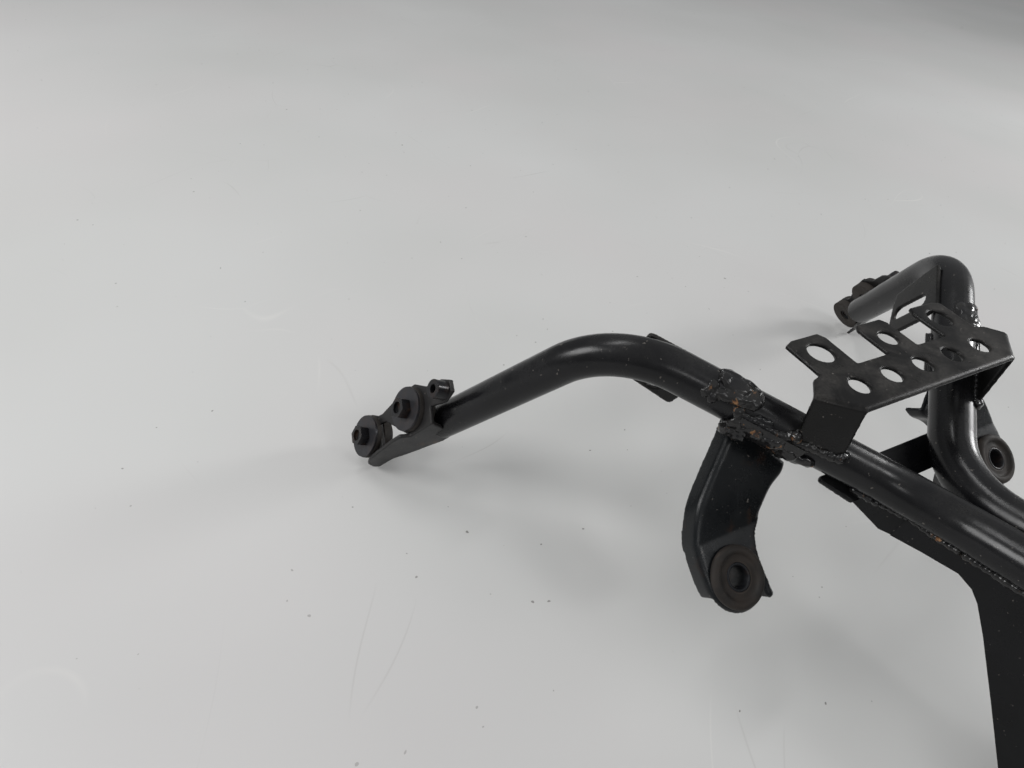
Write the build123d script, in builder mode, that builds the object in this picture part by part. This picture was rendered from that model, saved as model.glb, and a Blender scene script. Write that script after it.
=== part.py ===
from build123d import *
import os
from math import cos, radians, sin

# Motorcycle fairing stay: two bent tubes on a folded head bracket, tied by a cross
# strap and a perforated bridge bracket, with grommet arms and rubber mounted end
# brackets. Millimetres, +X right, +Y forward, +Z up. The origin is the centre of
# the four bolt pattern on the rear face of the mounting flange.

os.makedirs("parts", exist_ok=True)

# Driving dimensions
TUBE_R = 9.5
TUBE_WALL = 2.0
BEND_R = 50.0
TUBE_END = (-170.5, 270.5, -12.1)
BEND_OUT = (-116.0, 214.6, 77.7)
BEND_IN = (-10.6, 115.1, 39.3)
TUBE_TAIL = (-10.6, 35.0, 62.1)

PITCH = 20.0
PLATE_TOP = 84.0
PLATE_Y = 152.0
SHEET = 2.0
ROW_HOLE_R = 4.5
TAB_HOLE_R = 5.9
LEG_H = 29.7

FLANGE_W = 64.0
FLANGE_H = 100.0
FLANGE_T = 4.0
FLANGE_HOLE_R = 4.5
FLANGE_DX = 40.0
FLANGE_DZ = 70.0

SIDE_X = 16.0
SIDE_T = 3.0

STRAP_T = 2.5
BITE = 0.4

ARM_T = 2.0
ARM_DEPTH = 8.0
ARM_DROP = 3.0
ARM_BEND_V = 17.0
ARM_TILT = 14.0
GROM_R = 13.5
GROM_NECK_R = 11.0
COLLAR_R = 6.2
COLLAR_BORE = 4.8
SADDLE_T = 2.4

EAR_T = 2.2
PAD_R = 12.3
PAD_NECK_R = 8.0
WASHER_R = 12.0
WASHER_T = 1.4
SHANK_R = 3.0
HEAD_AF = 10.0
HEAD_H = 5.2
SLEEVE_R = 4.4
SLEEVE_BORE = 3.0


END = Vector(*TUBE_END)
OUT = Vector(*BEND_OUT)
INN = Vector(*BEND_IN)
TAIL = Vector(*TUBE_TAIL)
UP = (OUT - INN).normalized()
DOWN = (END - OUT).normalized()


def centreline():
    return FilletPolyline(TAIL, INN, OUT, END, radius=BEND_R)


# Tubes
with BuildPart() as left_rod:
    with BuildLine() as rod_path:
        centreline()
    with BuildSketch(Plane(origin=rod_path.line @ 0, z_dir=rod_path.line % 0)):
        Circle(TUBE_R)
    sweep(path=rod_path.line)

with BuildPart() as left_tube:
    with BuildLine() as tube_path:
        centreline()
    with BuildSketch(Plane(origin=tube_path.line @ 0, z_dir=tube_path.line % 0)):
        Circle(TUBE_R)
        Circle(TUBE_R - TUBE_WALL, mode=Mode.SUBTRACT)
    sweep(path=tube_path.line)

with BuildPart() as right_rod:
    mirror(left_rod.part, about=Plane.YZ)

# Mounting flange, off the edge of the picture and kept plain
with BuildPart() as mounting_flange:
    with BuildSketch(Plane.XZ):
        RectangleRounded(FLANGE_W, FLANGE_H, 8)
        with GridLocations(FLANGE_DX, FLANGE_DZ, 2, 2):
            Circle(FLANGE_HOLE_R, mode=Mode.SUBTRACT)
    extrude(amount=-FLANGE_T)

# Cross strap in the plane that touches the underside of both tubes
slope = (BEND_OUT[2] - BEND_IN[2]) / (BEND_OUT[1] - BEND_IN[1])
strap_z = Vector(0, -slope, 1).normalized()
strap_y = Vector(0, 1, slope).normalized()
strap_at = Vector(0, 134.6, 0)
axis_z = INN.Z + slope * (strap_at.Y - INN.Y)
strap_at = Vector(0, strap_at.Y, axis_z) - strap_z * (TUBE_R - BITE)
strap_plane = Plane(origin=strap_at, x_dir=(1, 0, 0), z_dir=strap_z)
STRAP_OUTLINE = [(-45.5, 7.0), (-33.0, -8.0), (33.0, -8.0), (45.5, 7.0), (43.0, 8.6), (-43.0, 8.6)]
with BuildPart() as cross_strap:
    with BuildSketch(strap_plane):
        Polygon(*STRAP_OUTLINE, align=None)
    extrude(amount=-STRAP_T)
    for rod in (left_rod, right_rod):
        add(rod.part, mode=Mode.SUBTRACT)

# Head bracket: folded channel under the tube tails with a nose along each tube
SIDE_PROFILE = [(4.0, -50.0), (8.5, -50.0), (25.6, -30.2), (44.2, -8.5), (64.3, 14.5),
                (74.2, 24.8), (79.0, 28.0), (85.8, 29.0), (100.3, 23.3), (112.7, 17.8)]
NOSE_PROFILE = [(-1.0, 17.6), (8.3, 19.5), (16.9, 25.4), (25.4, 31.2), (27.6, 35.3)]
nose_dir = Vector(UP.X, UP.Y, 0).normalized()
nose_out = Vector(nose_dir.Y, -nose_dir.X, 0)
if nose_out.Y > 0:
    nose_out = nose_out * -1
NOSE_OFF = 5.4
tail_z = TAIL.Z + (TAIL.Z - INN.Z) / (INN.Y - TAIL.Y) * (TAIL.Y - FLANGE_T)
with BuildPart() as head_bracket:
    for side in (-1, 1):
        with BuildSketch(Plane(origin=(side * (SIDE_X - SIDE_T), 0, 0), x_dir=(0, 1, 0), z_dir=(1, 0, 0))):
            with BuildLine():
                Polyline(*SIDE_PROFILE, (112.7, 40.0), (TUBE_TAIL[1], TUBE_TAIL[2] - 3.0),
                         (26.0, 48.0), (4.0, 48.0), close=True)
            make_face()
        extrude(amount=side * SIDE_T)
        nose_at = Vector(side * abs(INN.X), INN.Y, 0) + Vector(-side * nose_out.X, nose_out.Y, 0) * (NOSE_OFF - SIDE_T)
        nose_x = Vector(-side * nose_dir.X, nose_dir.Y, 0)
        with BuildSketch(Plane(origin=nose_at, x_dir=nose_x, z_dir=nose_x.cross(Vector(0, 0, 1)))):
            with BuildLine():
                Polyline(*NOSE_PROFILE, (27.6, 44.0), (-1.0, 38.0), close=True)
            make_face()
        extrude(amount=side * SIDE_T)
    # front web between the two sides, along the slanted edge
    with BuildSketch(Plane.YZ.offset(-SIDE_X + 0.2)):
        with BuildLine():
            Polyline((8.5, -50.0), (25.6, -30.2), (44.2, -8.5), (64.3, 14.5), (62.0, 16.6),
                     (41.9, -6.5), (23.3, -28.2), (4.5, -50.0), close=True)
        make_face()
    extrude(amount=2 * SIDE_X - 0.4)
    for rod in (left_rod, right_rod):
        add(rod.part, mode=Mode.SUBTRACT)
    add(cross_strap.part, mode=Mode.SUBTRACT)

# Bridge bracket: perforated plate, three tabs and two legs standing on the tubes
FOLD_A = Vector(49.0, 140.0, 0)
FOLD_B = Vector(64.5, 153.0, 0)
LEG_SKEW = 3.7
fold_dir = (FOLD_B - FOLD_A).normalized()
fold_len = (FOLD_B - FOLD_A).length
PLATE_HALF = [(49.0, 140.0), (64.5, 153.0), (56.7, 161.0), (51.5, 162.4), (52.0, 181.5), (47.5, 183.3),
              (31.5, 183.4), (29.5, 179.9), (29.5, 162.4), (9.6, 162.4), (9.6, 179.0), (7.6, 181.9)]
with BuildPart() as bridge_bracket:
    with BuildSketch(Plane.XY.offset(PLATE_TOP - SHEET)) as plate_sketch:
        with BuildLine():
            Polyline(*PLATE_HALF, *[(-x, y) for x, y in reversed(PLATE_HALF)], close=True)
        make_face()
        with Locations((0, PLATE_Y)):
            with GridLocations(PITCH, 1, 5, 1):
                Circle(ROW_HOLE_R, mode=Mode.SUBTRACT)
        with Locations((-40.0, 172.8), (40.0, 172.8)):
            Circle(TAB_HOLE_R, mode=Mode.SUBTRACT)
        with Locations((0, 170.3)):
            Circle(ROW_HOLE_R, mode=Mode.SUBTRACT)
    extrude(amount=SHEET)
    for side in (-1, 1):
        leg_at = Vector(side * FOLD_A.X, FOLD_A.Y, PLATE_TOP - 0.5)
        leg_x = Vector(side * fold_dir.X, fold_dir.Y, 0)
        leg_n = leg_x.cross(Vector(0, 0, 1))
        with BuildSketch(Plane(origin=leg_at, x_dir=leg_x, z_dir=leg_n)):
            with BuildLine():
                Polyline((0, 0), (fold_len, 0), (fold_len - LEG_SKEW, 0.5 - LEG_H),
                         (-LEG_SKEW, 0.5 - LEG_H), close=True)
            make_face()
        extrude(amount=-side * SHEET)
        corner = leg_at + leg_x * (fold_len / 2) + Vector(0, 0, 0.5)
    for rod in (left_rod, right_rod):
        add(rod.part, mode=Mode.SUBTRACT)

# Boss pad on top of each tube
BOSS_S = 58.0
BOSS_L = 24.0
BOSS_W = 14.0
BOSS_RISE = 4.5
boss_at = OUT - UP * BOSS_S
across = UP.cross(Vector(0, 0, 1)).normalized()
boss_up = across.cross(UP).normalized()
if boss_up.Z < 0:
    boss_up = boss_up * -1
with BuildPart() as left_boss_pad:
    with BuildSketch(Plane(origin=boss_at, x_dir=UP, z_dir=boss_up)):
        SlotOverall(BOSS_L, BOSS_W)
    extrude(amount=TUBE_R + BOSS_RISE)
    top_edges = left_boss_pad.faces().sort_by(Axis.Z)[-1].edges()
    fillet(top_edges, 2.6)
    add(left_rod.part, mode=Mode.SUBTRACT)

# Arm saddle: part sleeve under the tube that carries the arm
SADDLE_S = 75.0
SADDLE_L = 30.0
saddle_at = OUT - UP * (SADDLE_S - SADDLE_L / 2)
with BuildPart() as left_arm_saddle:
    with BuildSketch(Plane(origin=saddle_at, x_dir=across, z_dir=-UP)):
        Circle(TUBE_R + SADDLE_T)
    extrude(amount=SADDLE_L)
    add(left_rod.part, mode=Mode.SUBTRACT)
    split(bisect_by=Plane(origin=saddle_at, z_dir=Vector(-0.35, 0.0, -0.94)), keep=Keep.TOP)

# Grommet arm: channel section with a round lobe
GROM_AT = Vector(-91.5, 125.3, 12.6)
arm_n = Vector(0, -0.55, 0.835).normalized()
arm_plane = Plane(origin=GROM_AT - arm_n * ARM_DROP, x_dir=(1, 0, 0), z_dir=arm_n)
arm_v = arm_plane.y_dir
upper_at = arm_plane.origin + arm_v * ARM_BEND_V
upper_n = arm_n * cos(radians(ARM_TILT)) - arm_v * sin(radians(ARM_TILT))
upper_plane = Plane(origin=upper_at, x_dir=(1, 0, 0), z_dir=upper_n)
LOW_OUT = [(-15.4, ARM_BEND_V + 2.5), (-16.6, 8.0), (-16.2, -1.0)]
LOW_IN = [(14.0, -7.5), (13.2, 1.0), (15.0, 9.0), (20.4, ARM_BEND_V + 2.5)]
UP_OUT = [(-15.9, 0.0), (-15.0, 3.0), (-10.4, 14.8), (-2.3, 25.4), (10.0, 39.2), (18.3, 48.7)]
UP_IN = [(42.5, 24.8), (36.2, 18.3), (24.6, 7.0), (18.6, 0.0)]
with BuildPart() as left_arm:
    with BuildSketch(arm_plane):
        with BuildLine():
            Spline(*LOW_OUT)
            ThreePointArc(LOW_OUT[-1], (1.0, -15.8), LOW_IN[0])
            Spline(*LOW_IN)
            Line(LOW_IN[-1], LOW_OUT[0])
        make_face()
    extrude(amount=-ARM_DEPTH)
    with BuildSketch(upper_plane):
        with BuildLine():
            Spline(*UP_OUT)
            Line(UP_OUT[-1], UP_IN[0])
            Spline(*UP_IN)
            Line(UP_IN[-1], UP_OUT[0])
        make_face()
    extrude(amount=-ARM_DEPTH)
    # hollow of the channel
    with BuildSketch(arm_plane.offset(-ARM_T)):
        with BuildLine():
            Polyline((-15.0 + ARM_T, ARM_BEND_V + 4), (-16.6 + ARM_T, 8.0), (-16.2 + ARM_T, -1.0), (-17.5, -1.0),
                     (-17.5, -20.0), (18.0, -20.0), (18.0, -7.5), (14.0 - ARM_T, -7.5), (13.2 - ARM_T, 1.0),
                     (15.0 - ARM_T, 9.0), (21.5 - ARM_T, ARM_BEND_V + 4), close=True)
        make_face()
    extrude(amount=-ARM_DEPTH, mode=Mode.SUBTRACT)
    with BuildSketch(upper_plane.offset(-ARM_T)):
        with BuildLine():
            Polyline((-15.9 + ARM_T, -4.0), (-15.0 + ARM_T, 3.0), (-10.4 + ARM_T, 14.0), (-2.3 + ARM_T, 24.0),
                     (10.0 + ARM_T, 37.4), (22.0, 50.0), (46.0, 28.0), (36.2 - ARM_T, 19.8),
                     (24.6 - ARM_T, 8.4), (18.6 - ARM_T, -4.0), close=True)
        make_face()
    extrude(amount=-ARM_DEPTH - 2, mode=Mode.SUBTRACT)
    with BuildSketch(arm_plane):
        Circle(GROM_NECK_R)
    extrude(amount=-ARM_T, mode=Mode.SUBTRACT)
    add(left_rod.part, mode=Mode.SUBTRACT)
    add(left_arm_saddle.part, mode=Mode.SUBTRACT)

# Arm grommet and its collar
with BuildPart() as left_arm_grommet:
    with BuildSketch(Plane(origin=GROM_AT, x_dir=(1, 0, 0), z_dir=arm_n)):
        Circle(GROM_R)
    extrude(amount=-ARM_DROP)
    with BuildSketch(arm_plane):
        Circle(GROM_NECK_R)
    extrude(amount=-ARM_T)
    with BuildSketch(arm_plane.offset(-ARM_T)):
        Circle(GROM_R - 2.3)
    extrude(amount=-3.0)
    with BuildSketch(Plane(origin=GROM_AT, x_dir=(1, 0, 0), z_dir=arm_n)):
        Circle(COLLAR_R)
    extrude(amount=-12.0, mode=Mode.SUBTRACT)

with BuildPart() as left_arm_collar:
    with BuildSketch(Plane(origin=GROM_AT - arm_n * 0.8, x_dir=(1, 0, 0), z_dir=arm_n)):
        Circle(COLLAR_R)
        Circle(COLLAR_BORE, mode=Mode.SUBTRACT)
    extrude(amount=-(ARM_DROP + ARM_T + 3.0 - 0.8))

# Bend gusset on the far side of the outer bend
gus_n = Vector(0.692, 0.721, 0.029).normalized()
gus_x = UP * -1
gus_x = (gus_x - gus_n * gus_x.dot(gus_n)).normalized()
gus_d = gus_n.cross(gus_x)
if gus_d.Z > 0:
    gus_d = gus_d * -1
TILT_G = 26.0
gus_v = (gus_d * cos(radians(TILT_G)) + gus_n * sin(radians(TILT_G))).normalized()
gus_z = gus_x.cross(gus_v)
gus_plane = Plane(origin=OUT + gus_n * 7.0, x_dir=gus_x, z_dir=gus_z)
GUSSET = [(9.0, 2.0), (16.0, 28.0), (22.0, 36.0), (34.0, 36.0), (41.0, 27.0), (40.0, 14.0), (36.0, 4.0),
          (30.0, -2.5), (14.0, -2.5)]
with BuildPart() as left_bend_gusset:
    with BuildSketch(gus_plane):
        with BuildLine():
            Polyline(*GUSSET, close=True)
        make_face()
        with Locations((25.0, 24.0)):
            SlotOverall(20.0, 9.0, rotation=100, mode=Mode.SUBTRACT)
    extrude(amount=1.1, both=True)
    add(left_rod.part, mode=Mode.SUBTRACT)

# End bracket: ear plate beside the tube end, folded over into a strip, with two
# bolt ears and a small third tab that carries a bush
BOLT_U = Vector(0.8634, 0.0222, -0.5040).normalized()
HOLE_1 = Vector(-181.33, 277.87, -7.29)
HOLE_PITCH = 41.0
BOLT_W = Vector(-0.4702, 0.3977, -0.7879).normalized()
BOLT_V = BOLT_U.cross(BOLT_W).normalized()
BOLT_W = BOLT_V.cross(BOLT_U).normalized() * -1
EAR_FACE = -5.5
STRIP_V = -14.6
STRIP_T = 2.2
BUSH_W = -29.0
BUSH_V = -1.5
BUSH_R = 4.9
BUSH_BORE = 2.3
BUSH_L = 7.0
if BOLT_W.dot(Vector(-0.4702, 0.3977, -0.7879)) < 0:
    BOLT_W = BOLT_W * -1
STRIP = [(EAR_FACE, -15.6), (9.4, -10.1), (14.4, -7.9), (16.9, -8.2), (17.1, 3.4), (9.4, 27.1), (5.3, 36.4),
         (5.3, 50.4), (1.2, 51.1), (-4.5, 47.5), (EAR_FACE - 2.5, 40.0), (-10.5, 15.0), (-10.5, 6.0),
         (EAR_FACE, 3.0)]
strip_plane = Plane(origin=HOLE_1 + BOLT_V * STRIP_V, x_dir=BOLT_U, z_dir=BOLT_V)
strip_sign = 1 if strip_plane.y_dir.dot(BOLT_W) > 0 else -1


def ear_plane(u):
    return Plane(origin=HOLE_1 + BOLT_U * u, x_dir=BOLT_V, z_dir=BOLT_U)


ear_sign = 1 if ear_plane(0).y_dir.dot(BOLT_W) > 0 else -1
EAR_1 = [(STRIP_V, -15.6), (-5.0, -16.5), (-7.5, -28.0), (-4.5, -35.0), (2.0, -35.0), (5.5, -28.0), (7.0, -15.5),
         (12.6, -6.0), (12.6, 6.0), (8.5, 27.0), (9.0, 31.0), (4.0, 31.0), (2.5, 24.0), (-8.0, 10.5), (STRIP_V, 3.0)]
EAR_2 = [(STRIP_V, 29.5), (3.0, 29.5), (9.0, 31.0), (12.2, 37.0), (12.2, 46.0), (6.0, 52.5), (-5.0, 53.5),
         (STRIP_V, 40.0)]
with BuildPart() as left_end_bracket:
    with BuildSketch(strip_plane):
        with BuildLine():
            Polyline(*[(u, strip_sign * w) for u, w in STRIP], close=True)
        make_face()
    extrude(amount=STRIP_T)
    with BuildSketch(ear_plane(EAR_FACE)):
        for outline in (EAR_1, EAR_2):
            with BuildLine():
                Polyline(*[(v, ear_sign * w) for v, w in outline], close=True)
            make_face()
        with Locations((0, 0), (0, ear_sign * HOLE_PITCH)):
            Circle(PAD_NECK_R, mode=Mode.SUBTRACT)
        with Locations((BUSH_V, ear_sign * BUSH_W)):
            Circle(BUSH_BORE, mode=Mode.SUBTRACT)
    extrude(amount=EAR_T)
    add(left_rod.part, mode=Mode.SUBTRACT)

with BuildPart() as left_end_bush:
    with BuildSketch(ear_plane(EAR_FACE)):
        with Locations((BUSH_V, ear_sign * BUSH_W)):
            Circle(BUSH_R)
            Circle(BUSH_BORE, mode=Mode.SUBTRACT)
    extrude(amount=-BUSH_L)

PAD_OUT = 2.4
PAD_IN = 5.2


def bolt_stack(w):
    """Plane at the outer face of the ear plate, looking outward along a bolt."""
    return Plane(origin=HOLE_1 + BOLT_W * w + BOLT_U * EAR_FACE, x_dir=BOLT_V, z_dir=-BOLT_U)


def build_pad(face):
    with BuildPart() as pad:
        with BuildSketch(face):
            Circle(PAD_R)
        extrude(amount=PAD_OUT)
        with BuildSketch(face):
            Circle(PAD_NECK_R)
        extrude(amount=-EAR_T)
        with BuildSketch(face.offset(-EAR_T)):
            Circle(PAD_R)
        extrude(amount=-PAD_IN)
        with BuildSketch(face.offset(PAD_OUT)):
            Circle(SLEEVE_R)
        extrude(amount=-(PAD_OUT + EAR_T + PAD_IN), mode=Mode.SUBTRACT)
    return pad.part


def build_sleeve(face):
    with BuildPart() as sleeve:
        with BuildSketch(face.offset(PAD_OUT)):
            Circle(SLEEVE_R)
            Circle(SLEEVE_BORE, mode=Mode.SUBTRACT)
        extrude(amount=-(PAD_OUT + EAR_T + PAD_IN - 1.0))
    return sleeve.part


def build_washer(face):
    with BuildPart() as washer:
        with BuildSketch(face.offset(PAD_OUT)):
            Circle(WASHER_R)
            Circle(SHANK_R, mode=Mode.SUBTRACT)
        extrude(amount=WASHER_T)
    return washer.part


def build_bolt(face):
    with BuildPart() as bolt:
        with BuildSketch(face.offset(PAD_OUT + WASHER_T)):
            RegularPolygon(HEAD_AF / 2, 6, major_radius=False)
        extrude(amount=HEAD_H)
        with BuildSketch(face.offset(PAD_OUT + WASHER_T)):
            Circle(SHANK_R)
        extrude(amount=-(PAD_OUT + WASHER_T + EAR_T + 3.5))
        with BuildSketch(face.offset(PAD_OUT + WASHER_T + HEAD_H)):
            Circle(3.2)
        extrude(amount=-1.6, mode=Mode.SUBTRACT)
    return bolt.part


parts = {
    "mounting_flange": mounting_flange.part,
    "head_bracket": head_bracket.part,
    "cross_strap": cross_strap.part,
    "bridge_bracket": bridge_bracket.part,
    "left_tube": left_tube.part,
    "left_boss_pad": left_boss_pad.part,
    "left_arm_saddle": left_arm_saddle.part,
    "left_arm": left_arm.part,
    "left_arm_grommet": left_arm_grommet.part,
    "left_arm_collar": left_arm_collar.part,
    "left_bend_gusset": left_bend_gusset.part,
    "left_end_bracket": left_end_bracket.part,
    "left_end_bush": left_end_bush.part,
}
for place, w in (("inner", 0.0), ("outer", HOLE_PITCH)):
    face = bolt_stack(w)
    parts[f"left_{place}_pad"] = build_pad(face)
    parts[f"left_{place}_sleeve"] = build_sleeve(face)
    parts[f"left_{place}_washer"] = build_washer(face)
    parts[f"left_{place}_bolt"] = build_bolt(face)

for name in [n for n in parts if n.startswith("left_")]:
    with BuildPart() as right:
        mirror(parts[name], about=Plane.YZ)
    parts[name.replace("left_", "right_")] = right.part

for name, solid in parts.items():
    solid.label = name
    export_step(solid, f"parts/{name}.step")
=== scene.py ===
import math
import random

import bmesh
import bpy
from mathutils import Matrix, Vector, noise


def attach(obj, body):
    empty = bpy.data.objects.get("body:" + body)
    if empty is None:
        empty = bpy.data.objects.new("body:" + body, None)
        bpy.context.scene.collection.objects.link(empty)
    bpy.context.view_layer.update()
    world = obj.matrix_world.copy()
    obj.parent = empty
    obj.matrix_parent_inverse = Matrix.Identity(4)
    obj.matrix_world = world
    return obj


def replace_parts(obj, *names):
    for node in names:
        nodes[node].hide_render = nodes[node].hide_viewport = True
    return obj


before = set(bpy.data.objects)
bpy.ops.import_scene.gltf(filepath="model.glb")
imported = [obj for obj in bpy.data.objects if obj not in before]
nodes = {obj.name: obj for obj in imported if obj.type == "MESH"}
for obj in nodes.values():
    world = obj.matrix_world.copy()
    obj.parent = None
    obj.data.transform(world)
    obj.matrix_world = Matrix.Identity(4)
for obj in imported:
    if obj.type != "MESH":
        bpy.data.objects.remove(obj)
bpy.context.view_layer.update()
scene = bpy.context.scene
random.seed(7)

# Sizes shared with the solids, in metres
MM = 0.001
TUBE_R = 0.0095
BEND_R = 0.050
FLOOR_Z = -0.055
TUBE_CORNERS = [Vector((-0.0106, 0.035, 0.0621)), Vector((-0.0106, 0.1151, 0.0393)),
                Vector((-0.116, 0.2146, 0.0777)), Vector((-0.1705, 0.2705, -0.0121))]

# Camera at the photograph's viewpoint
right = Vector((0.8977, -0.4265, 0.1101))
down = Vector((-0.2252, -0.6592, -0.7174))
forward = Vector((0.3786, 0.6192, -0.6879))
EYE = Vector((-0.2565, 0.0628, 0.2344))
LENS_MM = 21.08
lens = bpy.data.cameras.new("camera")
lens.lens = LENS_MM
lens.sensor_width = 36.0
lens.clip_start = 0.01
lens.clip_end = 50.0
camera = bpy.data.objects.new("camera", lens)
scene.collection.objects.link(camera)
camera.matrix_world = Matrix((
    (right.x, -down.x, -forward.x, EYE.x),
    (right.y, -down.y, -forward.y, EYE.y),
    (right.z, -down.z, -forward.z, EYE.z),
    (0, 0, 0, 1)))
scene.camera = camera
scene.view_settings.view_transform = "Standard"


# Materials
class Nodes:
    """A material's node tree with short calls."""

    def __init__(self, name):
        self.mat = bpy.data.materials.new(name)
        self.mat.use_nodes = True
        self.tree = self.mat.node_tree
        self.shader = self.tree.nodes["Principled BSDF"]
        self.coords = self.add("ShaderNodeTexCoord").outputs["Object"]

    def add(self, kind, **settings):
        node = self.tree.nodes.new(kind)
        for key, value in settings.items():
            setattr(node, key, value)
        return node

    def link(self, a, b):
        self.tree.links.new(a, b)

    def noise(self, scale, detail=4.0, rough=0.55, distortion=0.0, coords=None):
        n = self.add("ShaderNodeTexNoise")
        n.inputs["Scale"].default_value = scale
        n.inputs["Detail"].default_value = detail
        n.inputs["Roughness"].default_value = rough
        n.inputs["Distortion"].default_value = distortion
        self.link(coords or self.coords, n.inputs["Vector"])
        return n.outputs["Fac"]

    def ramp(self, value, low, high, a=0.0, b=1.0):
        n = self.add("ShaderNodeMapRange")
        n.inputs["From Min"].default_value = low
        n.inputs["From Max"].default_value = high
        n.inputs["To Min"].default_value = a
        n.inputs["To Max"].default_value = b
        self.link(value, n.inputs["Value"])
        return n.outputs["Result"]

    def math(self, op, a, b):
        n = self.add("ShaderNodeMath", operation=op)
        for socket, value in zip(n.inputs, (a, b)):
            if isinstance(value, (int, float)):
                socket.default_value = value
            else:
                self.link(value, socket)
        return n.outputs["Value"]

    def mix(self, fac, a, b):
        n = self.add("ShaderNodeMix", data_type="RGBA")
        self.link(fac, n.inputs["Factor"])
        for key, value in (("A", a), ("B", b)):
            socket = [s for s in n.inputs if s.name == key and s.type == "RGBA"][0]
            if isinstance(value, tuple):
                socket.default_value = (*value, 1.0)
            else:
                self.link(value, socket)
        return [s for s in n.outputs if s.type == "RGBA"][0]

    def upward(self):
        """1 on faces that look up, 0 on faces that look sideways or down."""
        geo = self.add("ShaderNodeNewGeometry")
        split = self.add("ShaderNodeSeparateXYZ")
        self.link(geo.outputs["Normal"], split.inputs[0])
        return self.ramp(split.outputs["Z"], 0.1, 1.0)

    def edge(self, low=0.53, high=0.62):
        geo = self.add("ShaderNodeNewGeometry")
        return self.ramp(geo.outputs["Pointiness"], low, high)

    def bump(self, height, strength, distance, radius=0.0006):
        soft = self.add("ShaderNodeBevel", samples=4)
        soft.inputs["Radius"].default_value = radius
        n = self.add("ShaderNodeBump")
        n.inputs["Strength"].default_value = strength
        n.inputs["Distance"].default_value = distance
        self.link(height, n.inputs["Height"])
        self.link(soft.outputs["Normal"], n.inputs["Normal"])
        self.link(n.outputs["Normal"], self.shader.inputs["Normal"])


RUST = (0.19, 0.075, 0.025)
CHIP = (0.22, 0.20, 0.18)


def paint(name, base, dust, rough, dust_share=0.35, rust=0.0, bump=0.2, radius=0.0006, specular=0.32):
    """Semi-gloss black paint with dust on its upper faces, fine grain and worn spots."""
    m = Nodes(name)
    mottle = m.noise(38.0, 5.0)
    colour = m.mix(m.ramp(mottle, 0.35, 0.7), tuple(c * 0.8 for c in base), tuple(c * 1.3 for c in base))
    grain = m.noise(900.0, 3.0, 0.7)
    cloud = m.noise(55.0, 6.0, 0.6, 0.4)
    layer = m.math("MULTIPLY", m.ramp(cloud, 0.38, 0.66), m.upward())
    layer = m.math("MULTIPLY", layer, m.ramp(grain, 0.3, 0.62, 0.3, 1.0))
    layer = m.math("MULTIPLY", layer, dust_share)
    colour = m.mix(layer, colour, dust)
    specks = m.ramp(m.noise(420.0, 2.0, 0.6), 0.70, 0.74)
    colour = m.mix(m.math("MULTIPLY", specks, 0.5), colour, CHIP)
    if rust:
        spots = m.ramp(m.noise(90.0, 5.0, 0.6), 0.56, 0.64)
        patch = m.math("MULTIPLY", spots, m.ramp(m.noise(26.0, 2.0), 0.5, 0.6))
        colour = m.mix(m.math("MULTIPLY", patch, rust), colour, RUST)
    m.link(colour, m.shader.inputs["Base Color"])
    shine = m.ramp(m.noise(70.0, 5.0, 0.6), 0.3, 0.7, rough - 0.05, rough + 0.10)
    m.link(m.math("ADD", shine, m.math("MULTIPLY", layer, 0.5)), m.shader.inputs["Roughness"])
    m.shader.inputs["Specular IOR Level"].default_value = specular
    fine = m.math("ADD", m.math("MULTIPLY", grain, 0.25), m.noise(160.0, 4.0, 0.5))
    m.bump(fine, bump, 0.00022, radius)
    return m.mat


def rubber_look(name, base, brown):
    m = Nodes(name)
    stain = m.ramp(m.noise(60.0, 5.0, 0.6, 0.5), 0.4, 0.65)
    colour = m.mix(stain, base, brown)
    edge = m.math("MULTIPLY", m.edge(0.51, 0.56), 0.45)
    colour = m.mix(edge, colour, tuple(c * 2.2 for c in brown))
    m.link(colour, m.shader.inputs["Base Color"])
    m.link(m.ramp(m.noise(120.0, 4.0), 0.3, 0.7, 0.55, 0.8), m.shader.inputs["Roughness"])
    m.shader.inputs["Specular IOR Level"].default_value = 0.35
    m.bump(m.noise(420.0, 4.0, 0.6), 0.35, 0.0002, 0.0009)
    return m.mat


def steel_look(name, base, rust, rough, metallic):
    m = Nodes(name)
    stain = m.math("MULTIPLY", m.ramp(m.noise(150.0, 5.0, 0.6), 0.5, 0.68), rust)
    colour = m.mix(stain, base, (0.14, 0.07, 0.035))
    edge = m.math("MULTIPLY", m.edge(0.52, 0.60), 0.5)
    colour = m.mix(edge, colour, tuple(c * 3.0 for c in base))
    m.link(colour, m.shader.inputs["Base Color"])
    m.link(m.ramp(m.noise(200.0, 4.0), 0.3, 0.7, rough - 0.06, rough + 0.12), m.shader.inputs["Roughness"])
    m.shader.inputs["Metallic"].default_value = metallic
    m.shader.inputs["Specular IOR Level"].default_value = 0.3
    m.bump(m.noise(600.0, 3.0, 0.6), 0.25, 0.00015, 0.0004)
    return m.mat


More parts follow.
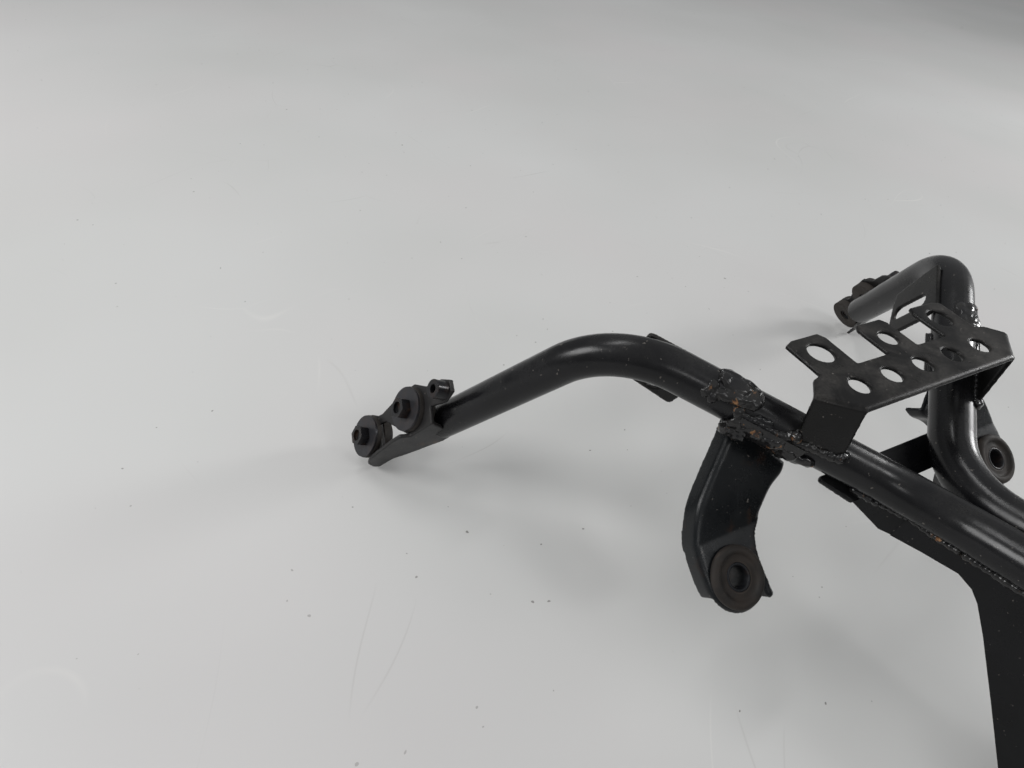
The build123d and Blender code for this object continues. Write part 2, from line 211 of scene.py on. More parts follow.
def weld_look(name):
    """Painted weld metal: glossy black lumps with bare, rusty spots where the paint has chipped."""
    m = Nodes(name)
    bare = m.ramp(m.noise(210.0, 4.0, 0.65), 0.60, 0.64)
    chip = m.math("MULTIPLY", bare, m.ramp(m.noise(60.0, 2.0), 0.50, 0.58))
    colour = m.mix(m.ramp(m.noise(120.0, 4.0), 0.35, 0.7), (0.008, 0.008, 0.009), (0.022, 0.021, 0.020))
    rust = m.mix(m.ramp(m.noise(500.0, 3.0), 0.4, 0.62), (0.10, 0.038, 0.012), (0.34, 0.18, 0.08))
    colour = m.mix(chip, colour, rust)
    m.link(colour, m.shader.inputs["Base Color"])
    m.link(m.math("ADD", m.ramp(m.noise(90.0, 3.0), 0.3, 0.7, 0.10, 0.26), m.math("MULTIPLY", chip, 0.45)),
           m.shader.inputs["Roughness"])
    m.shader.inputs["Specular IOR Level"].default_value = 0.42
    m.bump(m.noise(380.0, 4.0, 0.5), 0.35, 0.0004, 0.0002)
    return m.mat


BLACK = (0.0070, 0.0070, 0.0080)
DUST = (0.075, 0.072, 0.067)
tube_paint = paint("tube_paint", BLACK, DUST, 0.21, dust_share=0.17)
# The sheet, base and arm paints have darker bases than the tube paint, and the arm paint has thin dust: this
# is painted shade for faces that turn towards shade and show darker than the tubes.
sheet_paint = paint("sheet_paint", (0.0055, 0.0052, 0.0052), (0.130, 0.121, 0.111), 0.26, dust_share=0.40,
                    radius=0.0012, specular=0.22)
base_paint = paint("base_paint", (0.0050, 0.0052, 0.0060), (0.085, 0.083, 0.080), 0.27, dust_share=0.16,
                   specular=0.20)
arm_paint = paint("arm_paint", (0.0050, 0.0062, 0.0074), (0.055, 0.058, 0.060), 0.24, dust_share=0.14,
                  rust=0.12, radius=0.0012)
ear_paint = paint("ear_paint", (0.014, 0.0135, 0.014), (0.095, 0.086, 0.076), 0.38, dust_share=0.42,
                  rust=0.30, radius=0.0010)
rubber_mat = rubber_look("rubber_dusty", (0.012, 0.0108, 0.0100), (0.027, 0.021, 0.017))
pad_mat = rubber_look("rubber_dark", (0.011, 0.0108, 0.0110), (0.025, 0.021, 0.018))
bolt_mat = steel_look("bolt_black_steel", (0.008, 0.008, 0.009), 0.25, 0.28, 0.2)
washer_mat = steel_look("washer_black_steel", (0.017, 0.017, 0.019), 0.20, 0.36, 0.3)
collar_mat = steel_look("collar_dark_steel", (0.008, 0.0085, 0.010), 0.15, 0.40, 0.3)
weld_mat = weld_look("weld_black")

FINISH = {
    "bridge_bracket": sheet_paint, "cross_strap": base_paint, "head_bracket": base_paint,
    "mounting_flange": base_paint, "tube": tube_paint, "boss_pad": weld_mat,
    "arm_saddle": weld_mat, "arm": arm_paint, "arm_grommet": rubber_mat,
    "arm_collar": collar_mat, "bend_gusset": sheet_paint, "end_bracket": ear_paint,
    "end_bush": bolt_mat, "pad": pad_mat, "sleeve": collar_mat, "washer": washer_mat,
    "bolt": bolt_mat}


def plain_name(node):
    for side in ("left_", "right_"):
        node = node.removeprefix(side)
    for place in ("inner_", "outer_"):
        node = node.removeprefix(place)
    return node


for name, obj in nodes.items():
    obj.data.materials.clear()
    obj.data.materials.append(FINISH[plain_name(name)])
    for face in obj.data.polygons:
        face.use_smooth = True


# Tube centreline with its two bends
def bent_line(corners, radius, step=0.0015):
    line = [corners[0]]
    for before, corner, after in zip(corners, corners[1:], corners[2:]):
        a = (before - corner).normalized()
        b = (after - corner).normalized()
        half = a.angle(b) / 2
        reach = radius / math.tan(half)
        middle = corner + (a + b).normalized() * (radius / math.sin(half))
        start = corner + a * reach - middle
        turn = math.pi - 2 * half
        axis = start.cross(corner + b * reach - middle).normalized()
        count = max(6, int(radius * turn / step))
        line += [middle + Matrix.Rotation(turn * k / count, 3, axis) @ start for k in range(count + 1)]
    line.append(corners[-1])
    dense = []
    for p, q in zip(line, line[1:]):
        cuts = max(1, int((q - p).length / step))
        dense += [p.lerp(q, k / cuts) for k in range(cuts)]
    return dense + [corners[-1]]


left_line = bent_line(TUBE_CORNERS, BEND_R)
MIRROR = Vector((-1, 1, 1))
right_line = [p * MIRROR for p in left_line]


def off_line(point, line):
    return min((point - p).length for p in line)


# Seams: sharp edges of a solid that lie on a tube's surface
def welded_mesh(name):
    mesh = bmesh.new()
    mesh.from_mesh(nodes[name].data)
    bmesh.ops.remove_doubles(mesh, verts=mesh.verts, dist=1e-6)
    return mesh


def seam_runs(name, line, slack=0.0004, sharp=0.35):
    mesh = welded_mesh(name)
    on = {v.index: abs(off_line(v.co, line) - TUBE_R) < slack for v in mesh.verts}
    links = {}
    spots = {v.index: v.co.copy() for v in mesh.verts}
    for edge in mesh.edges:
        a, b = edge.verts
        if not (on[a.index] and on[b.index]) or len(edge.link_faces) != 2:
            continue
        if edge.calc_face_angle(0.0) > sharp:
            links.setdefault(a.index, []).append(b.index)
            links.setdefault(b.index, []).append(a.index)
    mesh.free()
    runs = []
    used = set()
    for start in sorted(links, key=lambda i: (len(links[i]) == 2, i)):
        for first in links[start]:
            if (start, first) in used:
                continue
            run = [start, first]
            used |= {(start, first), (first, start)}
            while len(links[run[-1]]) == 2:
                ahead = [i for i in links[run[-1]] if (run[-1], i) not in used]
                if not ahead:
                    break
                used |= {(run[-1], ahead[0]), (ahead[0], run[-1])}
                run.append(ahead[0])
            runs.append([spots[i] for i in run])
    return runs


def resample(run, step):
    out = [run[0]]
    rest = step
    for p, q in zip(run, run[1:]):
        length = (q - p).length
        at = 0.0
        while length - at >= rest:
            at += rest
            out.append(p.lerp(q, at / length))
            rest = step
        rest -= length - at
    return out


def new_piece(name, mesh, material, body="root"):
    data = bpy.data.meshes.new(name)
    mesh.to_mesh(data)
    mesh.free()
    obj = bpy.data.objects.new(name, data)
    scene.collection.objects.link(obj)
    data.materials.append(material)
    for face in data.polygons:
        face.use_smooth = True
    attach(obj, body)
    return obj


RING = 10
BEAD_STEP = 0.0007
BEAD_FLAT = 0.72


def add_bead(mesh, run, radius, lift):
    """One rippled weld bead along a run of points, lifted off the tube by a share of its radius."""
    line = resample(run, BEAD_STEP)
    if len(line) < 4:
        return
    phase = random.uniform(0, 6.28)
    wander = random.uniform(0, 6.28)
    rings = []
    last = len(line) - 1
    for k, point in enumerate(line):
        ahead = line[min(k + 1, last)] - line[max(k - 1, 0)]
        tangent = ahead.normalized()
        side = left_line if point.x < 0 else right_line
        centre = min(side, key=lambda p: (p - point).length_squared)
        out = (point - centre).normalized()
        across = tangent.cross(out).normalized()
        end = min(1.0, (min(k, last - k) + 0.6) / 2.6)
        wave = 1.0 + 0.13 * math.sin(k * 1.15 + phase) + 0.10 * math.sin(k * 0.31 + wander)
        wave += random.uniform(-0.05, 0.05)
        size = radius * wave * end ** 0.5
        middle = point + out * lift * radius + across * radius * 0.18 * math.sin(k * 0.23 + wander)
        ring = []
        for j in range(RING):
            turn = 2 * math.pi * j / RING
            spot = middle + across * size * math.cos(turn) + out * size * BEAD_FLAT * math.sin(turn)
            ring.append(mesh.verts.new(spot))
        rings.append(ring)
    for a, b in zip(rings, rings[1:]):
        for j in range(RING):
            mesh.faces.new((a[j], a[(j + 1) % RING], b[(j + 1) % RING], b[j]))
    mesh.faces.new(list(reversed(rings[0])))
    mesh.faces.new(rings[-1])


def bead_piece(name, node, line, radius, lift=0.15, shortest=0.004):
    """Beads along a node's longer seams, as one piece; nothing where it has none."""
    mesh = bmesh.new()
    for run in seam_runs(node, line):
        length = sum((q - p).length for p, q in zip(run, run[1:]))
        if length < shortest:
            continue
        add_bead(mesh, run, radius, lift)
    bmesh.ops.recalc_face_normals(mesh, faces=mesh.faces)
    if len(mesh.verts):
        new_piece(name, mesh, weld_mat)
    else:
        mesh.free()


SEAMS = [("bridge_bracket", 0.0019), ("cross_strap", 0.0018), ("head_bracket", 0.0023)]
SIDE_SEAMS = [("arm_saddle", 0.0017)]
for side, line in (("left", left_line), ("right", right_line)):
    for node, radius in SEAMS:
        bead_piece(f"{side}_{node}_weld", node, line, radius)
    for node, radius in SIDE_SEAMS:
        bead_piece(f"{side}_{node}_weld", f"{side}_{node}", line, radius)

# Shapes cut from sheet: outlines in millimetres in a plane, joined, cut and rounded
VOXEL = 0.00045


def plane(origin, x_dir, z_dir):
    """Matrix from plane coordinates in millimetres to the frame in metres."""
    z = Vector(z_dir).normalized()
    x = (Vector(x_dir) - z * z.dot(Vector(x_dir))).normalized()
    y = z.cross(x)
    o = Vector(origin)
    return Matrix(((x.x * MM, y.x * MM, z.x * MM, o.x * MM), (x.y * MM, y.y * MM, z.y * MM, o.y * MM),
                   (x.z * MM, y.z * MM, z.z * MM, o.z * MM), (0, 0, 0, 1)))


def curve(points, each=6):
    """Smooth line through the points."""
    pts = [Vector(p) for p in points]
    ext = [2 * pts[0] - pts[1]] + pts + [2 * pts[-1] - pts[-2]]
    out = []
    for a, b, c, d in zip(ext, ext[1:], ext[2:], ext[3:]):
        for k in range(each):
            t = k / each
            out.append(0.5 * (2 * b + (c - a) * t + (2 * a - 5 * b + 4 * c - d) * t * t
                              + (3 * b - 3 * c + d - a) * t ** 3))
    return [(p.x, p.y) for p in out] + [tuple(points[-1])]


def arc(a, b, c, count=18):
    """Arc from a through b to c."""
    (ax, ay), (bx, by), (cx, cy) = a, b, c
    d = 2 * (ax * (by - cy) + bx * (cy - ay) + cx * (ay - by))
    a2 = ax * ax + ay * ay
    b2 = bx * bx + by * by
    c2 = cx * cx + cy * cy
    ux = (a2 * (by - cy) + b2 * (cy - ay) + c2 * (ay - by)) / d
    uy = (a2 * (cx - bx) + b2 * (ax - cx) + c2 * (bx - ax)) / d
    radius = math.hypot(ax - ux, ay - uy)
    start = math.atan2(ay - uy, ax - ux)
    turn = (math.atan2(cy - uy, cx - ux) - start) % (2 * math.pi)
    middle = (math.atan2(by - uy, bx - ux) - start) % (2 * math.pi)
    if middle > turn:
        turn -= 2 * math.pi
    turns = [start + turn * k / count for k in range(count + 1)]
    return [(ux + radius * math.cos(t), uy + radius * math.sin(t)) for t in turns]


def disc(x, y, radius, count=40):
    turns = [2 * math.pi * k / count for k in range(count)]
    return [(x + radius * math.cos(t), y + radius * math.sin(t)) for t in turns]


def oval(x, y, length, width, angle, count=14):
    """Slot outline with round ends."""
    r = width / 2
    half = length / 2 - r
    c, s = math.cos(math.radians(angle)), math.sin(math.radians(angle))
    pts = [(half + r * math.cos(t), r * math.sin(t)) for t in
           (-math.pi / 2 + math.pi * k / count for k in range(count + 1))]
    pts += [(-px, -py) for px, py in pts]
    return [(x + px * c - py * s, y + px * s + py * c) for px, py in pts]


def rounded(points, radius, count=5):
    """Polygon with its corners rounded."""
    pts = [Vector(p) for p in points]
    out = []
    for k, p in enumerate(pts):
        a = (pts[k - 1] - p).normalized()
        b = (pts[(k + 1) % len(pts)] - p).normalized()
        half = a.angle(b) / 2
        reach = radius / math.tan(half)
        start = p + a * reach
        end = p + b * reach
        for j in range(count + 1):
            t = j / count
            q = start * (1 - t) ** 2 + p * 2 * t * (1 - t) + end * t * t
            out.append((q.x, q.y))
    return out


def shrunk(outline, gap):
    """Outline moved inward by a gap."""
    pts = [Vector(p) for p in outline]
    area = sum(a.x * b.y - a.y * b.x for a, b in zip(pts, pts[1:] + pts[:1]))
    sign = 1 if area > 0 else -1
    out = []
    for k, p in enumerate(pts):
        a = (p - pts[k - 1]).normalized()
        b = (pts[(k + 1) % len(pts)] - p).normalized()
        na = Vector((-a.y, a.x)) * sign
        nb = Vector((-b.y, b.x)) * sign
        n = na + nb
        q = p + n * (gap / max(0.6, 1 + na.dot(nb)))
        out.append((q.x, q.y))
    return out


def prism(mesh, outline, matrix, low, high, ease=0.0, steps=5):
    """Closed prism of an outline between two heights over its plane, its upper edge rounded."""
    levels = [(low, 0.0), (high - ease, 0.0)]
    if ease:
        for k in range(1, steps + 1):
            t = math.pi / 2 * k / steps
            levels.append((high - ease + ease * math.sin(t), ease * (1 - math.cos(t))))
    rings = []
    for z, gap in levels:
        line = shrunk(outline, gap) if gap else outline
        rings.append([mesh.verts.new(matrix @ Vector((x, y, z))) for x, y in line])
    count = len(outline)
    mesh.faces.new(rings[0])
    mesh.faces.new(rings[-1])
    for a, b in zip(rings, rings[1:]):
        for k in range(count):
            j = (k + 1) % count
            mesh.faces.new((a[k], a[j], b[j], b[k]))
    return mesh


def solid_mesh(shapes):
    mesh = bmesh.new()
    for shape in shapes:
        prism(mesh, *shape)
    bmesh.ops.recalc_face_normals(mesh, faces=mesh.faces)
    return mesh


def as_object(name, mesh):
    data = bpy.data.meshes.new(name)
    mesh.to_mesh(data)
    mesh.free()
    obj = bpy.data.objects.new(name, data)
    scene.collection.objects.link(obj)
    return obj


def settled(obj):
    """The object's mesh with its modifiers applied; the object goes."""
    depsgraph = bpy.context.evaluated_depsgraph_get()
    data = bpy.data.meshes.new_from_object(obj.evaluated_get(depsgraph))
    mesh = bmesh.new()
    mesh.from_mesh(data)
    bpy.data.meshes.remove(data)
    old = obj.data
    bpy.data.objects.remove(obj)
    bpy.data.meshes.remove(old)
    return mesh


def soften(obj, voxel, smooth=3, share=0.35):
    """Round every edge as thick paint does: remesh, smooth and thin out."""
    remesh = obj.modifiers.new("remesh", "REMESH")
    remesh.mode = "VOXEL"
    remesh.voxel_size = voxel
    ease = obj.modifiers.new("ease", "SMOOTH")
    ease.factor = 0.5
    ease.iterations = smooth
    thin = obj.modifiers.new("thin", "DECIMATE")
    thin.ratio = share


def mirrored(mesh):
    twin = mesh.copy()
    for v in twin.verts:
        v.co.x = -v.co.x
    bmesh.ops.reverse_faces(twin, faces=twin.faces)
    return twin


def cut_piece(adds, cuts, voxel, smooth=3, share=0.35):
    """Prisms joined, others cut away, and every edge rounded; the mesh is in the frame."""
    body = as_object("body", solid_mesh(adds))
    knives = []
    for k, cut in enumerate(cuts):
        knife = as_object(f"knife_{k}", solid_mesh([cut]))
        step = body.modifiers.new(f"cut_{k}", "BOOLEAN")
        step.operation = "DIFFERENCE"
        step.solver = "EXACT"
        step.use_self = True
        step.object = knife
        knives.append(knife)
    soften(body, voxel, smooth, share)
    mesh = settled(body)
    for knife in knives:
        data = knife.data
        bpy.data.objects.remove(knife)
        bpy.data.meshes.remove(data)
    return mesh


def pair(name, mesh, material, replaced):
    """The left piece and its mirror image on the right, each standing for its own node when one is named."""
    twin = mirrored(mesh)
    for side, shape in (("left", mesh), ("right", twin)):
        piece = new_piece(f"{side}_{name}", shape, material)
        if replaced:
            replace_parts(piece, f"{side}_{replaced}")


# Directions along the left tube's upper run
OUT_MM = TUBE_CORNERS[2] / MM
RUN = (TUBE_CORNERS[2] - TUBE_CORNERS[1]).normalized()
RUN_UP = RUN * -1
ACROSS = Vector((0.6865, 0.7272, 0.0)).normalized()
TUBE_TOP = Vector((0.1862, -0.1758, 0.9667)).normalized()

# Grommet arm: channel with a round lobe, its folds rounded
GROM_AT = Vector((-92.3, 124.6, 12.2))
ARM_N = Vector((0, -0.55, 0.835)).normalized()
ARM_T = 2.0
ARM_DEPTH = 9.5
ARM_DROP = 3.0
ARM_BEND_V = 17.8
ARM_TILT = math.radians(14.0)
low_at = GROM_AT - ARM_N * ARM_DROP
low_plane = plane(low_at, (1, 0, 0), ARM_N)
arm_v = ARM_N.cross(Vector((1, 0, 0)))
up_n = ARM_N * math.cos(ARM_TILT) - arm_v * math.sin(ARM_TILT)
up_plane = plane(low_at + arm_v * ARM_BEND_V, (1, 0, 0), up_n)
ARM_EASE = 2.6
ARM_HOLE_R = 11.2
CUT_LOW = -2.2 * ARM_DEPTH
LOW_OUT = [(-12.6, ARM_BEND_V + 6.5), (-14.3, 17.0), (-15.1, 8.8), (-14.7, -0.2), (-13.8, -4.7)]
LOBE_END = (12.2, -10.5)
NUB = [(12.6, -13.2), (14.2, -14.6), (16.4, -14.2), (17.3, -12.6)]
LOW_IN = [(16.7, -9.0), (16.0, -1.2), (16.2, 6.8), (18.4, 13.3), (22.6, 18.4), (26.8, ARM_BEND_V + 6.5)]
UP_OUT = [(-14.6, -4.5), (-13.8, 2.0), (-8.8, 14.6), (-0.4, 25.2), (11.8, 38.6), (19.7, 47.9)]
UP_IN = [(43.8, 20.6), (40.5, 16.2), (33.4, 12.1), (28.2, 7.4), (22.4, 1.0), (18.6, -4.5)]
low_outline = curve(LOW_OUT) + arc(LOW_OUT[-1], (-1.0, -15.3), LOBE_END)[1:] + NUB + curve(LOW_IN)
up_outline = curve(UP_OUT) + curve(UP_IN)


def inset(points, gap):
    return [(x + gap, y) for x, y in points]


low_hollow = (inset([(-12.2, ARM_BEND_V + 9), (-14.3, 17.0), (-15.1, 8.8), (-14.7, -0.2)], ARM_T)
              + [(-13.8 + ARM_T, -4.8), (-17.5, -4.8), (-17.5, -20.0), (16.4 - ARM_T, -20.0)]
              + inset([(16.6, -13.0), (16.0, -1.2), (16.2, 6.8), (18.4, 13.8), (27.8, ARM_BEND_V + 9)],
                      -ARM_T))
up_hollow = (inset([(-14.6, -8.0), (-13.4, 2.4), (-8.8, 13.6), (-0.4, 23.8), (11.8, 36.8)], ARM_T)
             + [(24.0, 50.0), (48.0, 26.0), (43.2, 22.6), (39.6, 18.2), (32.3, 13.8), (26.8, 8.8)]
             + inset([(22.4, 1.2), (17.6, -8.0)], -ARM_T))
arm_mesh = cut_piece(
    [(low_outline, low_plane, -ARM_DEPTH, 0, ARM_EASE), (up_outline, up_plane, -ARM_DEPTH, 0, ARM_EASE)],
    [(low_hollow, low_plane, CUT_LOW, -ARM_T), (up_hollow, up_plane, CUT_LOW, -ARM_T),
     (disc(0, 0, ARM_HOLE_R), low_plane, -4.0, 2.0)], VOXEL, 6, 0.30)
pair("arm_sheet", arm_mesh, arm_paint, "arm")


# Grommet and collar, turned
def turned(profile, matrix, count=72):
    """Ring swept from a closed profile of (radius, height) in millimetres."""
    mesh = bmesh.new()
    rings = []
    for k in range(count):
        t = 2 * math.pi * k / count
        spots = [Vector((r * math.cos(t), r * math.sin(t), z)) for r, z in profile]
        rings.append([mesh.verts.new(matrix @ spot) for spot in spots])
    size = len(profile)
    for k in range(count):
        a, b = rings[k], rings[(k + 1) % count]
        for j in range(size):
            i = (j + 1) % size
            mesh.faces.new((a[j], a[i], b[i], b[j]))
    bmesh.ops.recalc_face_normals(mesh, faces=mesh.faces)
    return mesh


grommet_profile = curve([(6.15, -1.1), (8.2, -1.2), (9.3, -0.95), (10.1, -0.1), (11.3, 0.25), (12.7, -0.25),
                         (13.45, -1.3), (13.4, -2.5), (12.6, -3.0)], 4)
grommet_profile += [(11.1, -3.05), (11.05, -4.9), (11.9, -5.2), (12.0, -7.2), (11.0, -8.2), (6.15, -8.2)]
grommet_plane = plane(GROM_AT, (1, 0, 0), ARM_N)
pair("grommet_ring", turned(grommet_profile, grommet_plane), rubber_mat, "arm_grommet")
collar_profile = [(4.8, -1.3), (5.1, -0.95), (5.9, -0.95), (6.2, -1.3), (6.2, -14.7), (5.9, -15.0),
                  (5.1, -15.0), (4.8, -14.7)]
pair("grommet_collar", turned(collar_profile, grommet_plane), collar_mat, "arm_collar")

# Bend gusset: slotted sheet in the bend
gus_n = Vector((0.692, 0.721, 0.029)).normalized()
gus_x = (RUN_UP - gus_n * gus_n.dot(RUN_UP)).normalized()
gus_d = gus_n.cross(gus_x)
if gus_d.z > 0:
    gus_d = -gus_d
GUSSET_TILT = math.radians(10.5)
GUSSET_T = 2.2
gus_v = (gus_d * math.cos(GUSSET_TILT) + gus_n * math.sin(GUSSET_TILT)).normalized()
gus_at = OUT_MM + gus_n * (TUBE_R / MM - 0.2 + GUSSET_T / 2)
GUSSET = [(12.5, -4.0), (46.5, -4.0), (46.6, 8.6), (43.4, 24.0), (42.6, 32.2), (19.0, 28.6), (12.5, 26.0)]
gus_plane = plane(gus_at, gus_x, gus_x.cross(gus_v))
gusset_mesh = cut_piece([(rounded(GUSSET, 2.5), gus_plane, -GUSSET_T / 2, GUSSET_T / 2)],
                        [(oval(31.2, 16.0, 24.0, 8.5, 103), gus_plane, -4, 4)], VOXEL, 3, 0.30)
pair("gusset_sheet", gusset_mesh, sheet_paint, "bend_gusset")

# Cross strap under both tubes
INNER_YZ = (115.1, 39.3)
OUTER_YZ = (214.6, 77.7)
STRAP_Y = 134.6
STRAP_T = 2.5
slope = (OUTER_YZ[1] - INNER_YZ[1]) / (OUTER_YZ[0] - INNER_YZ[0])
strap_z = Vector((0, -slope, 1)).normalized()
strap_at = Vector((0, STRAP_Y, INNER_YZ[1] + slope * (STRAP_Y - INNER_YZ[0]))) - strap_z * (TUBE_R / MM - 0.4)
STRAP = [(-46.0, 2.0), (-35.5, -11.5), (35.5, -11.5), (46.0, 2.0), (44.0, 3.6), (-44.0, 3.6)]
strap_plane = plane(strap_at, (1, 0, 0), strap_z)
strap_mesh = cut_piece([(rounded(STRAP, 1.2), strap_plane, -STRAP_T, 0)], [], 0.0005, 3, 0.30)
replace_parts(new_piece("strap_sheet", strap_mesh, base_paint), "cross_strap")


# Sheet parts whose shape stays, with their edges rounded
def soft_copy(mesh, voxel, smooth, share=0.3):
    obj = as_object("copy", mesh)
    soften(obj, voxel, smooth, share)
    return settled(obj)


FOLD_R = 0.0024
FOLD_ENDS = (Vector((0.0490, 0.1400)), Vector((0.0645, 0.1530)))
PLATE_TOP = 0.084
fold_way = (FOLD_ENDS[1] - FOLD_ENDS[0]).normalized()
bridge_copy = welded_mesh("bridge_bracket")


def on_fold(v):
    """True for a corner of the outer fold line between the plate and a leg."""
    spot = Vector((abs(v.co.x), v.co.y)) - FOLD_ENDS[0]
    along = spot.dot(fold_way)
    off = abs(spot.x * fold_way.y - spot.y * fold_way.x)
    length = (FOLD_ENDS[1] - FOLD_ENDS[0]).length
    return abs(v.co.z - PLATE_TOP) < 2e-5 and off < 1e-4 and -1e-4 < along < length + 1e-4


folds = [e for e in bridge_copy.edges if on_fold(e.verts[0]) and on_fold(e.verts[1])
         and e.calc_face_angle(0.0) > 0.5]
bmesh.ops.bevel(bridge_copy, geom=folds, offset=FOLD_R, offset_type="OFFSET", segments=5, profile=0.5,
                affect="EDGES", clamp_overlap=False)
bridge_mesh = soft_copy(bridge_copy, VOXEL, 4)
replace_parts(new_piece("bridge_sheet", bridge_mesh, sheet_paint), "bridge_bracket")
ear_mesh = soft_copy(welded_mesh("left_end_bracket"), 0.0004, 4)
pair("end_sheet", ear_mesh, ear_paint, "end_bracket")


# Weld lumps: melted blobs over the boss, at the arm's root and at the bridge leg's foot
def on_tube(s, turn, rise):
    """Point over the left tube at s mm before the outer corner, turned from its top, and its directions."""
    t = math.radians(turn)
    out = TUBE_TOP * math.cos(t) - ACROSS * math.sin(t)
    return TUBE_CORNERS[2] - RUN * s * MM + out * (TUBE_R + rise * MM), RUN, RUN.cross(out), out


def add_blob(mesh, spot, size, seed):
    """Closed uneven blob of half sizes along, around and out of the tube."""
    centre, along, around, out = spot
    ball = bmesh.ops.create_icosphere(mesh, subdivisions=3, radius=1.0)["verts"]
    for v in ball:
        n = v.co.copy()
        bulge = 1.0 + 0.28 * noise.noise(n * 1.7 + Vector((seed * 3.1, seed * 1.7, 0))) \
            + 0.10 * noise.noise(n * 4.3 + Vector((0, seed * 2.3, seed)))
        v.co = centre + (along * n.x * size[0] + around * n.y * size[1] + out * n.z * size[2]) * MM * bulge


def lumps(blobs, voxel=0.00038, ripple=0.00013, share=0.45):
    mesh = bmesh.new()
    for k, (s, turn, rise, size) in enumerate(blobs):
        add_blob(mesh, on_tube(s, turn, rise), size, k + 1)
    obj = as_object("blobs", mesh)
    soften(obj, voxel, 7, share)
    mesh = settled(obj)
    mesh.normal_update()
    for v in mesh.verts:
        wave = noise.noise(v.co * 420.0) + 0.5 * noise.noise(v.co * 1100.0)
        v.co += v.normal * ripple * wave
    return mesh


BOSS = [(55.0, 14, -0.5, (10.5, 5.2, 2.9)), (50.5, -10, 0.1, (6.5, 3.4, 2.2)),
        (61.5, 26, -0.2, (4.4, 4.8, 2.7)), (47.5, 12, 0.6, (3.6, 3.0, 2.0)),
        (55.0, 44, 0.1, (6.0, 3.0, 2.2)), (50.0, 52, -0.4, (4.5, 2.6, 1.9)),
        (43.5, 44, -0.4, (2.8, 2.6, 1.7)), (42.0, 66, -0.4, (2.6, 2.4, 1.7)),
        (45.8, 74, -0.3, (2.4, 2.4, 1.5)), (46.2, 56, -0.6, (2.0, 2.0, 1.6)),
        (57.0, -8, 0.4, (4.5, 2.4, 1.9))]
pair("boss_lump", lumps(BOSS), weld_mat, "boss_pad")
ROOT = []
for k in range(12):
    s = 58.5 + 2.9 * k
    size = (2.9 + 0.8 * math.sin(k * 2.1), 2.6, 1.9 + 0.5 * math.sin(k))
    ROOT.append((s, 74 + 9 * math.sin(k * 1.3), -0.4, size))
for k in range(9):
    s = 60.0 + 3.3 * k
    size = (3.4 + math.sin(k * 1.7), 3.4, 2.0 + 0.6 * math.sin(k * 2.6))
    ROOT.append((s, 104 + 11 * math.sin(k * 1.9), 1.3, size))
ROOT += [(60.5, 134, 2.6, (4.6, 4.6, 2.8)), (64.5, 128, 3.4, (3.2, 3.6, 2.2)),
         (84.0, 128, 1.2, (5.0, 4.0, 2.4)), (90.0, 118, 0.9, (5.5, 3.6, 2.2)),
         (95.0, 112, 0.4, (4.2, 3.2, 2.0))]
pair("root_lump", lumps(ROOT), weld_mat, None)
FOOT = [(83.2, 60, 1.6, (2.5, 2.5, 2.6)), (85.5, 66, 0.2, (2.2, 2.0, 1.5))]
for k in range(9):
    size = (1.7, 1.6, 1.4 + 0.3 * math.sin(k * 2.2))
    FOOT.append((86.5 + 1.9 * k, 72 - 1.6 * k + 4 * math.sin(k * 1.6), 0.1, size))
FOOT += [(104.5, 52, 0.9, (2.0, 2.2, 2.0)), (106.3, 45, 0.3, (1.6, 2.0, 1.5))]
pair("foot_lump", lumps(FOOT, 0.00036, 0.00015), weld_mat, None)

# Floor
FLOOR_HALF = 3.0
FLOOR_GAP = 0.0002
floor_mesh = bmesh.new()
bmesh.ops.create_grid(floor_mesh, x_segments=2, y_segments=2, size=FLOOR_HALF)
floor_data = bpy.data.meshes.new("floor")
floor_mesh.to_mesh(floor_data)
floor_mesh.free()
floor = bpy.data.objects.new("floor", floor_data)
floor.location = (0, 0, FLOOR_Z - FLOOR_GAP)
scene.collection.objects.link(floor)
top = Nodes("floor_pale")
cloudy = top.ramp(top.noise(2.2, 3.0, 0.5), 0.3, 0.7)
tone = top.mix(cloudy, (0.60, 0.60, 0.585), (0.67, 0.67, 0.66))
bend = top.add("ShaderNodeVectorMath", operation="ADD")
wander = top.add("ShaderNodeTexNoise")
wander.inputs["Scale"].default_value = 2.4
wander.inputs["Detail"].default_value = 1.0
top.link(top.coords, wander.inputs["Vector"])
top.link(top.coords, bend.inputs[0])
top.link(wander.outputs["Color"], bend.inputs[1])
for scale, low, high, strength, colour in ((3.1, 0.0, 0.0040, 0.5, (0.80, 0.79, 0.76)),
                                           (5.3, 0.0, 0.0045, 0.4, (0.40, 0.39, 0.37))):
    cells = top.add("ShaderNodeTexVoronoi", feature="DISTANCE_TO_EDGE")
    cells.inputs["Scale"].default_value = scale
    top.link(bend.outputs[0], cells.inputs["Vector"])
    thin = top.ramp(cells.outputs["Distance"], low, high, 1.0, 0.0)
    where = top.ramp(top.noise(4.0 + scale, 2.0), 0.55, 0.68)
    tone = top.mix(top.math("MULTIPLY", top.math("MULTIPLY", thin, where), strength), tone, colour)
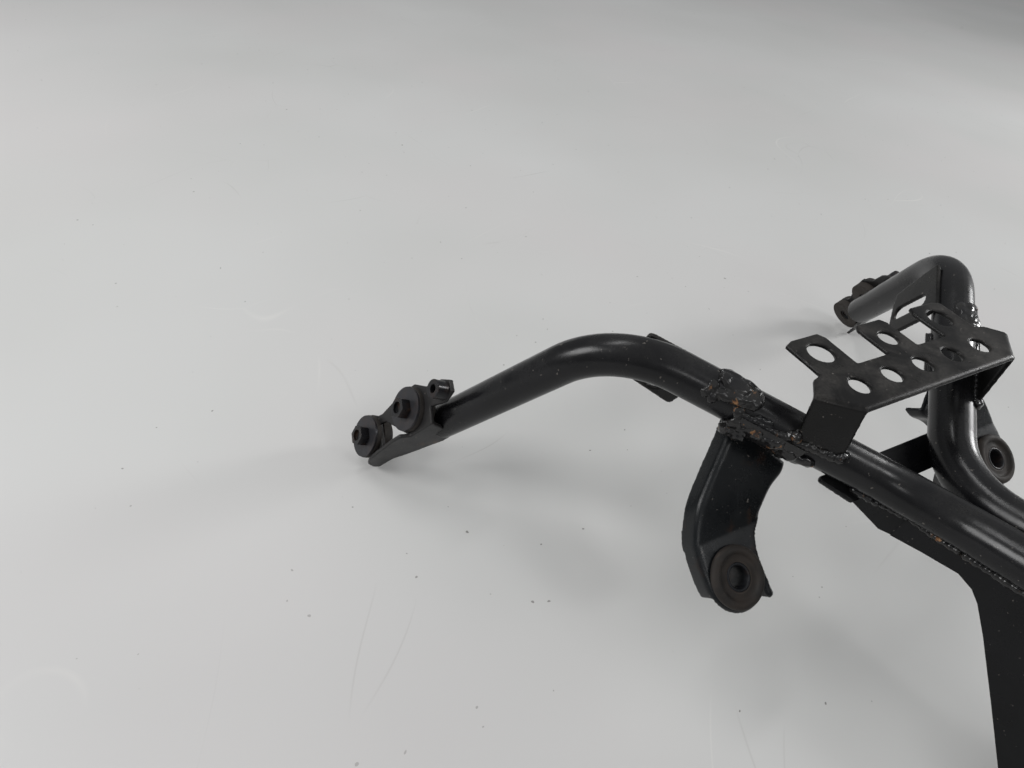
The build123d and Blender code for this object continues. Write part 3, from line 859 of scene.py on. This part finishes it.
specks = top.ramp(top.noise(260.0, 1.0, 0.3), 0.800, 0.815, 0.0, 0.7)
tone = top.mix(specks, tone, (0.10, 0.09, 0.08))
pink = top.ramp(top.noise(3.0, 2.0), 0.45, 0.65, 0.0, 0.5)
tone = top.mix(pink, tone, (0.66, 0.635, 0.63))
top.link(tone, top.shader.inputs["Base Color"])
top.shader.inputs["Roughness"].default_value = 0.42
top.shader.inputs["Specular IOR Level"].default_value = 0.25
floor_data.materials.append(top.mat)


# Lights
LIT_SPOT = Vector((-0.06, 0.18, 0.0))


def area_light(name, towards, distance, size, power):
    data = bpy.data.lights.new(name, "AREA")
    data.shape = "RECTANGLE"
    data.size, data.size_y = size
    data.energy = power
    obj = bpy.data.objects.new(name, data)
    scene.collection.objects.link(obj)
    obj.location = LIT_SPOT + towards.normalized() * distance
    obj.rotation_mode = "QUATERNION"
    obj.rotation_quaternion = (-towards).to_track_quat("-Z", "Y")


area_light("key", Vector((0.36, -0.58, 0.68)), 3.0, (0.55, 0.32), 7.5)
area_light("front", Vector((-0.24, -0.78, 0.58)), 2.6, (0.7, 0.28), 3.2)
area_light("ceiling", Vector((-0.15, 0.55, 1.0)), 2.4, (1.0, 0.20), 6.5)
area_light("window", Vector((-0.85, 0.35, 0.60)), 1.6, (0.6, 0.6), 10.0)
area_light("side", Vector((0.95, -0.15, 0.34)), 1.9, (0.35, 0.55), 12.0)
world = bpy.data.worlds.new("room")
scene.world = world
world.use_nodes = True
tree = world.node_tree
way = tree.nodes.new("ShaderNodeTexCoord")
split = tree.nodes.new("ShaderNodeSeparateXYZ")
height = tree.nodes.new("ShaderNodeMapRange")
height.inputs["From Min"].default_value = -0.1
height.inputs["From Max"].default_value = 0.9
height.inputs["To Min"].default_value = 0.15
height.inputs["To Max"].default_value = 0.46
tree.links.new(way.outputs["Generated"], split.inputs[0])
tree.links.new(split.outputs["Z"], height.inputs["Value"])
tree.links.new(height.outputs["Result"], tree.nodes["Background"].inputs["Strength"])
tree.nodes["Background"].inputs["Color"].default_value = (0.97, 0.985, 1.0, 1.0)
